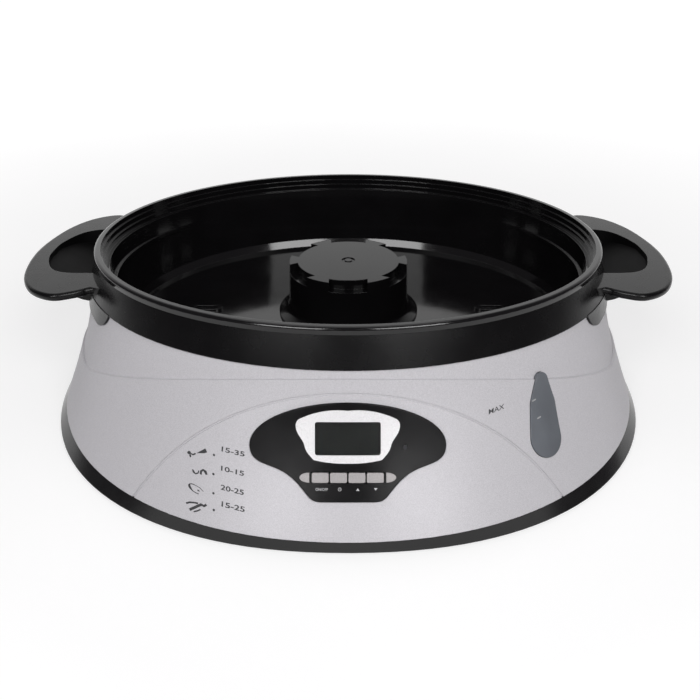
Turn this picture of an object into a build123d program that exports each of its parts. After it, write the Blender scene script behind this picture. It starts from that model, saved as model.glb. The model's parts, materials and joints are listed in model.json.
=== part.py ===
from build123d import *
import os
from math import copysign, cos, hypot, pi, radians, sin

os.makedirs("parts", exist_ok=True)

# Electric food steamer, base unit: silver body, black basin, control panel,
# steam cap and the heater and boards inside. Millimetres, +Z up, front towards -Y.
# The origin is the middle of the resting plane.

# ---------------------------------------------------------------- driving sizes
# Heights above the table
body_bottom = 10.0
body_top = 82.0
collar_top = 97.7
rim_top = 102.0
# Silver body: half width and half depth at its lower edge and at the collar
body_bottom_half_width = 184.0
body_bottom_half_depth = 177.8
body_top_half_width = 161.3
body_top_half_depth = 137.5
body_fullness = 0.10
oval_points = 24
side_flare_power = 1.42
front_flare_power = 1.30
housing_wall = 3.2
# Neck step, seam curve and the arch groove on the front
neck_step = 1.2
seam_peak = 77.7
seam_foot = 42.0
seam_half_span = 157.0
arch_peak = 71.2
arch_half_width = 152.0
arch_rise = 190.0
groove_width = 0.9
groove_depth = 0.5
# Black basin
rim_half_width = 156.0
rim_half_depth = 131.0
lip_thickness = 4.0
lip_radius = 1.8
basin_wall = 2.2
basin_corner = 1.6
seat_half_width = 152.0
seat_step = 0.9
seat_step_height = 3.4
ledge_height = 81.0
ledge_half_width = 146.5
ledge_wall = 3.0
rib_height = 2.4
rib_width = 1.2
rib_half_length = 64.0
shoulder_height = 53.0
shoulder_half_width = 143.5
floor_height = 48.0
floor_half_width = 141.0
floor_thickness = 2.4
# Collar and handles
collar_top_half_width = 155.2
collar_wall = 2.0
tongue_height = 5.0
tongue_wall = 1.8
tongue_root = 2.0
apron_bottom = 71.5
apron_half_length = 74.0
apron_corner = 12.0
apron_spread = 6.0
apron_proud = 0.15
handle_drop = 12.0
handle_root = 150.0
handle_reach = 48.5
handle_half_length = 68.0
handle_thickness = 4.5
handle_edge_radius = 2.0
handle_base = 25.0
grip_hole_reach = 37.6
grip_hole_half_length = 37.5
pocket_wall = 2.0
pocket_back_reach = -40.0
pocket_back_height = 62.7
pocket_bend_reach = 10.0
pocket_bend_height = 73.5
pocket_outer_height = 89.0
# Control panel, in the plane that touches the body at panel_height
panel_height = 46.0
bezel_half_width = 48.2
bezel_top = 23.9
bezel_tip = 3.2
bezel_bottom = -23.9
bezel_proud = 1.4
bezel_flange = 3.0
bezel_flange_thickness = 1.6
bezel_flange_overlap = 2.0
frame_top = 20.2
frame_bottom = -5.3
frame_proud = 2.2
frame_sink = 0.9
lens_width = 31.6
lens_height = 15.8
lens_centre = 6.7
lens_proud = 1.9
lens_corner = 1.0
lens_rest = 1.2
module_width = 36.0
module_height = 20.0
module_thickness = 2.8
module_depth = 1.9
module_wall = 1.5
button_count = 4
button_pitch = 8.87
button_width = 8.2
button_height = 4.8
button_row = -12.1
button_proud = 2.5
button_corner = 0.8
button_stem_radius = 1.4
button_travel = 0.8
button_flange = 0.9
button_flange_gap = 0.9
button_flange_thickness = 1.0
trim_start = 18.6
trim_length = 4.8
trim_proud = 2.1
led_across = 27.8
led_up = 2.4
led_radius = 1.1
led_proud = 1.9
board_depth = 13.0
board_thickness = 1.6
board_corner = 2.0
control_board_width = 92.0
control_board_height = 34.0
control_board_centre = -6.0
switch_size = 6.0
switch_body = 3.4
switch_plunger = 1.0
switch_plunger_radius = 1.7
pillar_radius = 2.4
pillar_hole_radius = 1.0
pillar_hole_depth = 5.0
small_screw_radius = 0.85
small_screw_head = 2.2
small_screw_head_height = 1.6
pillar_places = ((-34.0, 8.0), (34.0, 8.0), (-11.0, -20.0), (11.0, -20.0))
buzzer_radius = 6.0
buzzer_height = 5.5
buzzer_hole_radius = 1.2
buzzer_hole_depth = 2.0
buzzer_place = (24.0, -6.0)
ribbon_width = 8.0
ribbon_thickness = 0.9
ribbon_left = -45.0
ribbon_up = -15.0
ribbon_stub = 8.0
ribbon_fall = 14.0
ribbon_clearance = 1.5
ribbon_climb = 14.0
ribbon_approach = 8.0
ribbon_arch = 5.0
ribbon_landing = 3.0
ribbon_bend = 2.0
# Water level window
window_azimuth = 36.6
window_height = 44.4
window_lean = -11.5
window_radius = 10.3
window_length = 44.4
window_tip_radius = 4.2
window_proud = 0.6
gasket_margin = 2.4
gasket_overlap = 1.6
level_gasket_thickness = 1.2
chamber_wall = 1.2
chamber_margin = 2.0
chamber_back = 14.0
hose_up = 12.0
hose_wall = 1.1
nipple_radius = 2.8
nipple_bore = 1.6
nipple_length = 6.0
hose_gap = 3.0
drain_across = 95.0
drain_length = 22.0
drain_width = 9.0
drain_height = 1.6
drain_slot_length = 15.0
drain_slot_width = 3.0
boss_length = 4.0
boss_radius = 4.0
boss_hole_radius = 1.5
post_screw_length = 14.0
# Steam cap
cap_top = 83.0
cap_radius = 37.8
cap_neck_radius = 38.9
cap_foot_radius = 45.7
cap_flare_height = 7.0
cap_foot_edge = 1.0
cap_foot_rim = 4.2
cap_wall = 2.2
cap_disc_radius = 32.6
notch_count = 6
notch_depth = 6.0
notch_width = 23.4
notch_inner_share = 0.85
dimple_radius = 4.2
dimple_pip_radius = 2.4
dimple_depth = 0.6
inlet_count = 4
inlet_width = 9.0
inlet_height = 2.0
# Heater, under an opening in the basin floor
heater_opening = 29.5
gasket_radius = 33.5
gasket_thickness = 1.5
heater_plate_radius = 36.0
heater_plate_thickness = 2.0
heater_plate_slope = 1.5
heater_plate_crown = 0.8
element_ring_radius = 22.0
element_radius = 3.3
element_pin_length = 7.0
element_pin_radius = 1.2
element_gap = 50.0
fuse_radius = 2.0
fuse_length = 10.0
fuse_lead_radius = 0.5
fuse_lead_length = 4.0
lead_radius = 1.3
lead_height = 14.0
lead_bend = 6.0
lead_insertion = 4.5
terminal_depth = 14.0
terminal_height = 14.0
terminal_screw_radius = 2.2
terminal_screw_depth = 4.0
terminal_distance = 121.0
clamp_radius = 45.0
clamp_thickness = 1.2
clamp_screw_circle = 40.5
clamp_grip = 4.0
clamp_screw_radius = 1.35
clamp_screw_head = 3.2
clamp_screw_head_height = 2.0
thermostat_radius = 8.0
thermostat_height = 7.0
thermostat_cap = 1.6
thermostat_tab = (0.8, 4.8, 7.0)
thermostat_tab_across = 5.0
# Base plate, feet and fixings
plate_bottom = 2.5
plate_floor = 2.5
plate_foot_half_width = 188.0
plate_foot_half_depth = 177.1
plate_fullness = 0.20
plate_top_taper = 0.6
plate_wall = 3.0
plate_lip_height = 6.0
plate_lip_wall = 2.0
foot_radius = 9.0
foot_stud_radius = 3.0
foot_socket_depth = 1.0
foot_barb = 0.9
foot_barb_length = 1.6
foot_edge = 1.0
foot_across = 125.0
foot_along = 105.0
post_across = 100.0
post_along = 60.0
post_radius = 5.0
screw_radius = 1.9
screw_head_radius = 3.6
screw_head_height = 2.2
screw_head_sink = 0.8
plate_pillar_radius = 6.5
plate_pillar_height = 4.0
vent_along = 60.0
vent_count = 7
vent_pitch = 9.0
vent_length = 44.0
vent_width = 3.2
# Power board
power_board_length = 46.0
power_board_width = 64.0
power_board_centre = (-46.0, 12.0)
transformer_core = (30.0, 12.0, 18.0)
transformer_winding = (20.0, 22.0, 16.0)
transformer_offset = (0.0, -12.0)
relay_case = (19.0, 15.0, 15.0)
relay_offset = (8.0, 14.0)
mains_capacitor_case = (8.0, 18.0, 12.0)
mains_capacitor_offset = (-12.0, 12.0)
case_edge = 0.8
smoothing_capacitor_radius = 4.0
smoothing_capacitor_height = 12.0
smoothing_capacitor_offset = (6.0, 27.0)
standoff_height = 7.0
standoff_radius = 3.0
standoff_hole_radius = 1.25
board_hole_inset = 4.0
board_screw_radius = 1.1
board_screw_head = 2.6
board_screw_head_height = 1.8
# Cord gland at the back
gland_height = 24.0
gland_bore = 3.3
gland_neck = 5.6
gland_flange = 8.5
gland_flange_thickness = 2.0
gland_pad_width = 30.0
gland_pad_height = 24.0
gland_pad_thickness = 3.0
gland_pad_corner = 4.0
gland_pad_sink = 1.0
gland_block_margin = 3.0
gland_notch_gap = 4.0
gland_barb = 1.6
gland_edge = 1.0
# Clearances
fit = 0.3
seat = 0.15
running = 0.3
joint_overlap = 0.5
cut_margin = 2.0
cut_reach = 20.0

# ---------------------------------------------------------------- derived sizes
rim_oval = rim_half_width - rim_half_depth
floor_underside = floor_height - floor_thickness
plate_top = plate_bottom + plate_floor
board_hole_span = power_board_length - 2 * board_hole_inset
board_hole_rise = power_board_width - 2 * board_hole_inset
far = 260.0
standing = (Align.CENTER, Align.CENTER, Align.MIN)
hanging = (Align.CENTER, Align.CENTER, Align.MAX)


def bell(height, inset=0.0):
    """Half width and half depth of the flared body at a height."""
    drop = max(0.0, (body_top - height) / (body_top - body_bottom))
    wide = body_top_half_width + (body_bottom_half_width - body_top_half_width) * drop**side_flare_power
    deep = body_top_half_depth + (body_bottom_half_depth - body_top_half_depth) * drop**front_flare_power
    return wide - inset, deep - inset


def full_oval(half_width, half_depth, fullness):
    """Oval whose corners are a little fuller than an ellipse's."""
    corner_power = 2 / (2 + fullness)
    points = []
    for step in range(oval_points):
        turn = 2 * pi * step / oval_points
        across = copysign(abs(cos(turn)) ** corner_power, cos(turn))
        along = copysign(abs(sin(turn)) ** corner_power, sin(turn))
        points.append((half_width * across, half_depth * along))
    with BuildSketch() as outline:
        with BuildLine():
            Spline(*points, periodic=True)
        make_face()
    return outline.sketch


def bell_solid(inset, low, high):
    """Solid of the flared body, drawn in by the inset."""
    sections = 6
    with BuildPart() as solid:
        for step in range(sections):
            height = low + (high - low) * step / (sections - 1)
            fullness = body_fullness * min(1.0, max(0.0, (body_top - height) / (body_top - body_bottom)))
            with BuildSketch(Plane.XY.offset(height)):
                add(full_oval(*bell(height, inset), fullness))
        loft()
    return solid.part


def skin(outer_inset, inner_inset, low, high):
    """Layer of the flared body between two insets."""
    with BuildPart() as layer:
        add(bell_solid(outer_inset, low, high))
        add(bell_solid(inner_inset, low - cut_margin, high + cut_margin), mode=Mode.SUBTRACT)
    return layer.part


def body_plane(azimuth, height):
    """Plane that touches the flared body, with local Y running up its slope."""
    wide, deep = bell(height)
    upper = bell(height + 1)
    lower = bell(height - 1)
    across = sin(radians(azimuth))
    along = cos(radians(azimuth))
    rise = across**2 * (lower[0] - upper[0]) / (2 * wide) + along**2 * (lower[1] - upper[1]) / (2 * deep)
    normal = Vector(across / wide, -along / deep, rise)
    level = Vector(along / deep, across / wide, 0)
    return Plane(origin=(wide * across, -deep * along, height), x_dir=level, z_dir=normal)


def oval_cone(low, low_half_width, high, high_half_width, oval):
    """Tapered oval solid between two heights."""
    with BuildPart() as cone:
        with BuildSketch(Plane.XY.offset(low)):
            Ellipse(low_half_width, low_half_width - oval)
        with BuildSketch(Plane.XY.offset(high)):
            Ellipse(high_half_width, high_half_width - oval)
        loft()
    return cone.part


def save(builder, name):
    """Label a finished piece and write its STEP file."""
    builder.part.label = name
    export_step(builder.part, f"parts/{name}.step")


panel_plane = body_plane(0.0, panel_height)
window_plane = body_plane(window_azimuth, window_height)


# ---------------------------------------------------------------- outlines
def spread(x, y, margin, centre=0.0):
    """Point moved away from an outline's centre by a margin."""
    reach = hypot(x, y - centre)
    return x + margin * x / reach, y + margin * (y - centre) / reach


def bezel_outline(margin=0.0):
    """Outline of the control panel: half an ellipse above an ogee."""
    ogee_points = (
        (0.79 * bezel_half_width, bezel_bottom + 17.1),
        (0.60 * bezel_half_width, bezel_bottom + 12.8),
        (0.43 * bezel_half_width, bezel_bottom + 4.6),
    )
    with BuildSketch() as outline:
        with BuildLine():
            EllipticalCenterArc(
                (0, bezel_tip),
                bezel_half_width + margin,
                bezel_top - bezel_tip + margin,
                start_angle=0,
                arc_size=90,
            )
            ogee = Spline(
                (bezel_half_width + margin, bezel_tip),
                *(spread(x, y, margin) for x, y in ogee_points),
                (0.27 * bezel_half_width, bezel_bottom - margin),
                tangents=((0, -1), (-1, 0)),
            )
            Line(ogee @ 1, (0, bezel_bottom - margin))
            mirror(about=Plane.YZ)
        make_face()
    return outline.sketch


def shield_outline(margin=0.0):
    """Outline of the display frame: a shield with an arched head."""
    head_points = ((13.5, 19.6), (23.5, 16.2))
    side_points = ((25.2, 11.8), (21.6, 5.0), (16.5, -3.6))
    with BuildSketch() as outline:
        with BuildLine():
            head = ThreePointArc(
                (0, frame_top + margin), *(spread(x, y, margin, lens_centre) for x, y in head_points)
            )
            side = Spline(
                head @ 1,
                *(spread(x, y, margin, lens_centre) for x, y in side_points),
                tangents=((1, -0.5), (-0.7, -0.7)),
            )
            ThreePointArc(side @ 1, (8.0, frame_bottom + 0.3 - margin), (0, frame_bottom - margin))
            mirror(about=Plane.YZ)
        make_face()
    return outline.sketch


def drop_outline(margin=0.0):
    """Outline of the level window: a leaning drop."""
    foot = -window_length / 2 + window_radius + 2.9
    tip = foot - window_radius + window_length - window_tip_radius
    with BuildSketch() as outline:
        with BuildSketch(mode=Mode.PRIVATE) as upright:
            with Locations((0, foot)):
                Circle(window_radius + margin)
            with Locations((0, foot + 0.57 * (tip - foot))):
                Circle(0.83 * window_radius + margin)
            with Locations((0, tip)):
                Circle(window_tip_radius + margin)
            make_hull()
        add(upright.sketch.rotate(Axis.Z, window_lean))
    return outline.sketch


def handle_outline():
    """D outline of one handle, outward along local X from the root."""
    with BuildSketch() as outline:
        with BuildLine():
            edge = Spline(
                (-0.10 * handle_reach, 0.86 * handle_half_length),
                (0.12 * handle_reach, 0.955 * handle_half_length),
                (0.37 * handle_reach, handle_half_length),
                (0.68 * handle_reach, 0.845 * handle_half_length),
                (0.88 * handle_reach, 0.515 * handle_half_length),
                (handle_reach, 0),
                tangents=((1, 0.35), (0, -1)),
            )
            Polyline((handle_reach, 0), (-handle_base, 0), (-handle_base, handle_half_length), edge @ 0)
        make_face()
        mirror(about=Plane.XZ)
    return outline.sketch


def grip_outline(margin=0.0):
    """Outline of the finger hole inside a handle."""
    reach = grip_hole_reach + margin
    half_length = grip_hole_half_length + margin
    with BuildSketch() as outline:
        with BuildLine():
            edge = Spline(
                (0.30 * reach, half_length),
                (0.76 * reach, 0.82 * half_length),
                (0.96 * reach, 0.38 * half_length),
                (reach, 0),
                tangents=((1, 0), (0, -1)),
            )
            Polyline((reach, 0), (-handle_base, 0), (-handle_base, half_length), edge @ 0)
        make_face()
        mirror(about=Plane.XZ)
    return outline.sketch


# ---------------------------------------------------------------- silver housing
with BuildPart() as neck_relief:
    with BuildSketch(Plane.XZ):
        with BuildLine():
            ThreePointArc((-seam_half_span, seam_foot), (0, seam_peak), (seam_half_span, seam_foot))
            Polyline(
                (seam_half_span, seam_foot),
                (far, seam_foot),
                (far, body_top + cut_margin),
                (-far, body_top + cut_margin),
                (-far, seam_foot),
                (-seam_half_span, seam_foot),
            )
        make_face()
    extrude(amount=far, both=True)
    add(skin(-cut_margin, neck_step, seam_foot - cut_margin, body_top + cut_margin), mode=Mode.INTERSECT)

with BuildPart() as arch_groove:
    with BuildSketch(Plane.XZ):
        with Locations((0, arch_peak - arch_rise)):
            Ellipse(arch_half_width + groove_width / 2, arch_rise + groove_width / 2)
            Ellipse(arch_half_width - groove_width / 2, arch_rise - groove_width / 2, mode=Mode.SUBTRACT)
    extrude(amount=far)
    add(
        skin(-cut_margin, groove_depth, body_bottom - cut_margin, arch_peak + cut_margin),
        mode=Mode.INTERSECT,
    )


def collar_cone(inset, low, high):
    """Solid of the collar drawn in by the inset."""
    with BuildPart() as cone:
        for height in (low, high):
            share = (height - body_top) / (collar_top - body_top)
            wide = body_top_half_width + (collar_top_half_width - body_top_half_width) * share
            deep = body_top_half_depth + (collar_top_half_width - rim_oval - body_top_half_depth) * share
            with BuildSketch(Plane.XY.offset(height)):
                Ellipse(wide - inset, deep - inset)
        loft()
    return cone.part


# upright pad for the cord gland, set into the sloping back
pad_face = bell(gland_height + gland_pad_height / 2)[1] - gland_pad_sink
with BuildPart() as gland_block:
    with BuildSketch(Plane.XZ.offset(gland_pad_thickness - pad_face)):
        with Locations((0, gland_height)):
            block_width = gland_pad_width + 2 * gland_block_margin
            block_height = gland_pad_height + 2 * gland_block_margin
            RectangleRounded(block_width, block_height, gland_pad_corner + gland_block_margin)
    extrude(amount=-2 * cut_reach)
    add(bell_solid(joint_overlap, body_bottom, body_top), mode=Mode.INTERSECT)

with BuildPart() as housing:
    add(skin(0, housing_wall, body_bottom, body_top))
    # tongue that stands inside the collar
    tongue_low = body_top - tongue_root
    tongue_top = body_top + tongue_height
    tongue_inset = collar_wall + fit
    add(collar_cone(tongue_inset, tongue_low, tongue_top))
    tongue_core = collar_cone(
        tongue_inset + tongue_wall, tongue_low - joint_overlap, tongue_top + joint_overlap
    )
    add(tongue_core, mode=Mode.SUBTRACT)
    add(neck_relief.part, mode=Mode.SUBTRACT)
    add(arch_groove.part, mode=Mode.SUBTRACT)
    # opening for the control panel
    with BuildSketch(panel_plane):
        add(bezel_outline(fit))
    extrude(amount=cut_reach, both=True, mode=Mode.SUBTRACT)
    # opening for the level window
    with BuildSketch(window_plane):
        add(drop_outline(fit))
    extrude(amount=cut_reach, both=True, mode=Mode.SUBTRACT)
    # recess and hole for the cord gland
    add(gland_block.part)
    with BuildSketch(Plane.XZ.offset(-pad_face)):
        with Locations((0, gland_height)):
            RectangleRounded(gland_pad_width, gland_pad_height, gland_pad_corner)
    extrude(amount=-2 * cut_reach, mode=Mode.SUBTRACT)
    with BuildSketch(Plane.XZ.offset(-pad_face)):
        with Locations((0, gland_height)):
            Circle(gland_neck + fit / 2)
    extrude(amount=cut_reach, both=True, mode=Mode.SUBTRACT)
save(housing, "housing")

# ---------------------------------------------------------------- base plate
with BuildPart() as base_plate:
    # black band that carries the flare of the silver body down to the floor
    plate_sections = (
        (plate_bottom, plate_foot_half_width, plate_foot_half_depth, plate_fullness),
        (
            body_bottom - seat,
            body_bottom_half_width - plate_top_taper,
            body_bottom_half_depth - plate_top_taper,
            body_fullness,
        ),
    )
    for height, half_width, half_depth, fullness in plate_sections:
        with BuildSketch(Plane.XY.offset(height)):
            add(full_oval(half_width, half_depth, fullness))
    loft()
    for height, half_width, half_depth, fullness in plate_sections:
        with BuildSketch(Plane.XY.offset(height + plate_floor)):
            add(full_oval(half_width - plate_wall, half_depth - plate_wall, fullness))
    loft(mode=Mode.SUBTRACT)
    # upright lip that locates the housing
    lip_top = body_bottom + plate_lip_height
    with BuildSketch(Plane.XY.offset(plate_top - joint_overlap)):
        Ellipse(*bell(lip_top, housing_wall + fit))
        Ellipse(*bell(lip_top, housing_wall + fit + plate_lip_wall), mode=Mode.SUBTRACT)
    extrude(amount=lip_top - plate_top + joint_overlap)
    with Locations((0, body_bottom_half_depth, body_bottom - seat)):
        Box(
            gland_pad_width + 2 * gland_notch_gap,
            2 * gland_pad_width,
            plate_lip_height + cut_margin,
            align=standing,
            mode=Mode.SUBTRACT,
        )
    # sockets for the feet
    with Locations((0, 0, plate_bottom)):
        with GridLocations(2 * foot_across, 2 * foot_along, 2, 2):
            Cylinder(
                foot_radius + fit,
                foot_socket_depth,
                align=standing,
                mode=Mode.SUBTRACT,
            )
            Cylinder(foot_stud_radius, 4 * plate_floor, mode=Mode.SUBTRACT)
    # pillars under the basin posts, with screw holes and sunk heads
    with GridLocations(2 * post_across, 2 * post_along, 2, 2):
        with Locations((0, 0, plate_top)):
            Cylinder(plate_pillar_radius, plate_pillar_height, align=standing)
        with Locations((0, 0, plate_bottom)):
            Cylinder(screw_radius + fit, cut_reach, mode=Mode.SUBTRACT)
            Cylinder(
                screw_head_radius + fit,
                screw_head_height + screw_head_sink,
                align=standing,
                mode=Mode.SUBTRACT,
            )
    # standoffs for the power board
    with Locations((*power_board_centre, plate_top)):
        with GridLocations(board_hole_span, board_hole_rise, 2, 2):
            Cylinder(standoff_radius, standoff_height, align=standing)
            Cylinder(standoff_hole_radius, 3 * standoff_height, mode=Mode.SUBTRACT)
    # cooling slots
    with BuildSketch(Plane.XY.offset(plate_bottom)):
        with Locations((0, -vent_along), (0, vent_along)):
            with GridLocations(vent_pitch, 0, vent_count, 1):
                SlotOverall(vent_length, vent_width, rotation=90)
    extrude(amount=plate_floor, mode=Mode.SUBTRACT)
save(base_plate, "base_plate")

# ---------------------------------------------------------------- feet
foot_names = ("foot_front_left", "foot_front_right", "foot_back_left", "foot_back_right")
foot_places = [(x, y) for y in (-foot_along, foot_along) for x in (-foot_across, foot_across)]
for name, (x, y) in zip(foot_names, foot_places):
    with BuildPart(Plane((x, y, 0))) as foot:
        pad_height = plate_bottom + foot_socket_depth - seat
        Cylinder(foot_radius, pad_height, align=standing)
        chamfer(foot.edges().group_by(Axis.Z)[0], foot_edge)
        with Locations((0, 0, plate_bottom)):
            stud_length = plate_floor + seat + foot_barb_length
            Cylinder(foot_stud_radius - seat, stud_length, align=standing)
        with Locations((0, 0, plate_top + seat)):
            barb_radius = foot_stud_radius + foot_barb
            Cylinder(barb_radius, foot_barb_length, align=standing)
    save(foot, name)

# ---------------------------------------------------------------- collar with its two handles
handle_plane = Plane.XY.offset(rim_top - handle_drop).shift_origin((handle_root, 0, rim_top - handle_drop))


def below_pocket(lift):
    """Block of everything lower than the pocket floor, raised by the lift."""
    with BuildPart() as block:
        with BuildSketch(Plane.XZ):
            Polygon(
                (handle_root + pocket_back_reach, pocket_back_height + lift),
                (handle_root + pocket_bend_reach, pocket_bend_height + lift),
                (handle_root + handle_reach, pocket_outer_height + lift),
                (handle_root + handle_reach, 0),
                (handle_root + pocket_back_reach, 0),
                align=None,
            )
        extrude(amount=far, both=True)
    return block.part


with BuildPart() as pocket:
    with BuildSketch(handle_plane.offset(-handle_thickness / 4)):
        add(grip_outline(pocket_wall))
    extrude(amount=-2 * cut_reach)
    add(below_pocket(0), mode=Mode.SUBTRACT)

with BuildPart() as grip_hollow:
    with BuildSketch(handle_plane.offset(handle_thickness)):
        add(grip_outline())
    extrude(amount=-3 * cut_reach)
    add(below_pocket(pocket_wall), mode=Mode.SUBTRACT)

with BuildPart() as handle:
    with BuildSketch(handle_plane):
        add(handle_outline())
    extrude(amount=-handle_thickness)
    fillet(handle.edges().filter_by(GeomType.BSPLINE), handle_edge_radius)
    # pocket that closes the finger hole below
    add(pocket.part)
    add(grip_hollow.part, mode=Mode.SUBTRACT)

with BuildPart() as apron:
    with BuildSketch(Plane.YZ):
        with BuildLine():
            apron_edge = FilletPolyline(
                (-apron_half_length - apron_spread, body_top + cut_margin),
                (-apron_half_length, apron_bottom),
                (apron_half_length, apron_bottom),
                (apron_half_length + apron_spread, body_top + cut_margin),
                radius=apron_corner,
            )
            Line(apron_edge @ 1, apron_edge @ 0)
        make_face()
    extrude(amount=far, both=True)
    apron_top = body_top + seat + joint_overlap
    add(skin(-apron_proud, neck_step - fit, apron_bottom - cut_margin, apron_top), mode=Mode.INTERSECT)

with BuildPart() as handle_collar:
    add(collar_cone(0, body_top + seat, collar_top))
    add(handle.part)
    add(mirror(handle.part, about=Plane.YZ, mode=Mode.PRIVATE))
    add(collar_cone(collar_wall, body_top - cut_reach, collar_top + cut_reach), mode=Mode.SUBTRACT)
    add(bell_solid(neck_step - fit, body_top - cut_reach, body_top + seat), mode=Mode.SUBTRACT)
    add(apron.part)
save(handle_collar, "handle_collar")


# ---------------------------------------------------------------- water basin
basin_half_width = shoulder_half_width + basin_wall
basin_inside = (
    (floor_height, floor_half_width, shoulder_height, shoulder_half_width),
    (shoulder_height, shoulder_half_width, ledge_height, ledge_half_width),
    (ledge_height, ledge_half_width, rim_top, seat_half_width - 3 * seat_step),
)
basin_outside = (
    (floor_underside, floor_half_width + basin_corner, shoulder_height - basin_corner, basin_half_width),
    (shoulder_height - basin_corner, basin_half_width, ledge_height, ledge_half_width + ledge_wall),
    (ledge_height, ledge_half_width + ledge_wall, rim_top - lip_thickness, seat_half_width + seat_step),
)

# Axis of the level hose: level, from the back of the level chamber to the basin wall
hose_start = window_plane.from_local_coords((0, hose_up, -chamber_back))
hose_plane = Plane(origin=hose_start, z_dir=(-window_plane.z_dir.X, -window_plane.z_dir.Y, 0))


def distance_to_oval(plane, half_width, half_depth):
    """Distance along a plane's normal, from its origin to the near side of an oval."""
    across = plane.z_dir.X / half_width
    along = plane.z_dir.Y / half_depth
    start_across = plane.origin.X / half_width
    start_along = plane.origin.Y / half_depth
    square = across**2 + along**2
    cross = across * start_across + along * start_along
    rest = start_across**2 + start_along**2 - 1
    return (-cross - (cross**2 - square * rest) ** 0.5) / square


hose_span = distance_to_oval(hose_plane, basin_half_width, basin_half_width - rim_oval)

with BuildPart() as water_basin:
    with BuildSketch(Plane.XY.offset(rim_top - lip_thickness)):
        Ellipse(rim_half_width, rim_half_depth)
    extrude(amount=lip_thickness)
    fillet(water_basin.edges().group_by(Axis.Z)[-1], lip_radius)
    for section in basin_outside:
        add(oval_cone(*section, rim_oval))
    for section in basin_inside:
        add(oval_cone(*section, rim_oval), mode=Mode.SUBTRACT)
    # fine seat steps for the basket above
    for step in range(3):
        step_low = rim_top - seat_step_height * (3 - step)
        with BuildSketch(Plane.XY.offset(step_low)):
            step_half_width = seat_half_width - seat_step * (2 - step)
            Ellipse(step_half_width, step_half_width - rim_oval)
        extrude(amount=rim_top - step_low, mode=Mode.SUBTRACT)
    # guide ribs for the basket, one on each side
    with BuildSketch(Plane.XY.offset(ledge_height - rib_height)):
        rib_outside = ledge_half_width + joint_overlap
        rib_inside = ledge_half_width - rib_width
        Ellipse(rib_outside, rib_outside - rim_oval)
        Ellipse(rib_inside, rib_inside - rim_oval, mode=Mode.SUBTRACT)
        Rectangle(2 * far, 2 * rib_half_length, mode=Mode.INTERSECT)
    extrude(amount=rib_height)
    # opening over the heater
    with Locations((0, 0, floor_height)):
        Cylinder(heater_opening + fit, cut_reach, mode=Mode.SUBTRACT)
    # drain pads in the floor
    with BuildSketch(Plane.XY.offset(floor_height)):
        with Locations((-drain_across, 0), (drain_across, 0)):
            SlotOverall(drain_length, drain_width)
    extrude(amount=drain_height)
    with BuildSketch(Plane.XY.offset(floor_height)):
        with Locations((-drain_across, 0), (drain_across, 0)):
            SlotOverall(drain_slot_length, drain_slot_width)
    extrude(amount=drain_height, mode=Mode.SUBTRACT)
    # bosses for the heater clamp
    with Locations((0, 0, floor_underside)):
        with PolarLocations(clamp_screw_circle, 4, start_angle=45):
            Cylinder(boss_radius, boss_length, align=hanging)
    # posts that stand on the base plate
    post_foot = plate_top + plate_pillar_height + seat
    post_top = floor_underside + joint_overlap
    with GridLocations(2 * post_across, 2 * post_along, 2, 2):
        with Locations((0, 0, post_foot)):
            Cylinder(post_radius, post_top - post_foot, align=standing)
            Cylinder(screw_radius, 2 * post_screw_length, mode=Mode.SUBTRACT)
    with Locations((0, 0, floor_underside - boss_length)):
        with PolarLocations(clamp_screw_circle, 4, start_angle=45):
            Cylinder(boss_hole_radius, 2 * boss_length, mode=Mode.SUBTRACT)
    # nipple for the level hose
    with BuildSketch(hose_plane.offset(hose_span - nipple_length)):
        Circle(nipple_radius)
    extrude(amount=nipple_length + joint_overlap)
    with BuildSketch(hose_plane.offset(hose_span - nipple_length)):
        Circle(nipple_bore)
    extrude(amount=nipple_length + 2 * basin_wall, mode=Mode.SUBTRACT)
save(water_basin, "water_basin")

# ---------------------------------------------------------------- steam cap
cap_foot = floor_height + fit
with BuildPart() as steam_cap:
    with BuildSketch(Plane.XZ):
        with BuildLine():
            Polyline((0, cap_top), (cap_radius, cap_top), (cap_neck_radius, cap_foot + cap_flare_height))
            flare = Spline(
                (cap_neck_radius, cap_foot + cap_flare_height),
                (0.65 * cap_neck_radius + 0.35 * cap_foot_radius, cap_foot + 0.43 * cap_flare_height),
                (cap_foot_radius, cap_foot + cap_foot_edge),
                tangents=((0, -1), (1, -0.4)),
            )
            Polyline(
                flare @ 1,
                (cap_foot_radius, cap_foot),
                (cap_foot_radius - cap_foot_rim, cap_foot),
                (cap_neck_radius - cap_wall, cap_foot + cap_flare_height - cap_foot_edge),
                (cap_radius - cap_wall, cap_top - notch_depth - 1.4 * cap_wall),
                (cap_disc_radius - cap_wall, cap_top - notch_depth - cap_wall),
                (cap_disc_radius - cap_wall, cap_top - cap_wall),
                (0, cap_top - cap_wall),
                (0, cap_top),
            )
        make_face()
    revolve()
    # grip notches round the top
    with BuildSketch(Plane.XY.offset(cap_top - notch_depth)):
        with PolarLocations(cap_radius, notch_count, start_angle=30):
            Rectangle(2 * (cap_radius - notch_inner_share * cap_disc_radius), notch_width)
        Circle(cap_disc_radius, mode=Mode.SUBTRACT)
    extrude(amount=notch_depth, mode=Mode.SUBTRACT)
    # shallow dimple in the middle of the top
    with BuildSketch(Plane.XY.offset(cap_top - dimple_depth)):
        Circle(dimple_radius)
        Circle(dimple_pip_radius, mode=Mode.SUBTRACT)
    extrude(amount=dimple_depth, mode=Mode.SUBTRACT)
    # water inlets at the foot
    with Locations((0, 0, cap_foot)):
        with PolarLocations(cap_foot_radius - cap_foot_rim, inlet_count, start_angle=45):
            Box(cap_flare_height * 2, inlet_width, 2 * inlet_height, mode=Mode.SUBTRACT)
save(steam_cap, "steam_cap")

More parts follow.
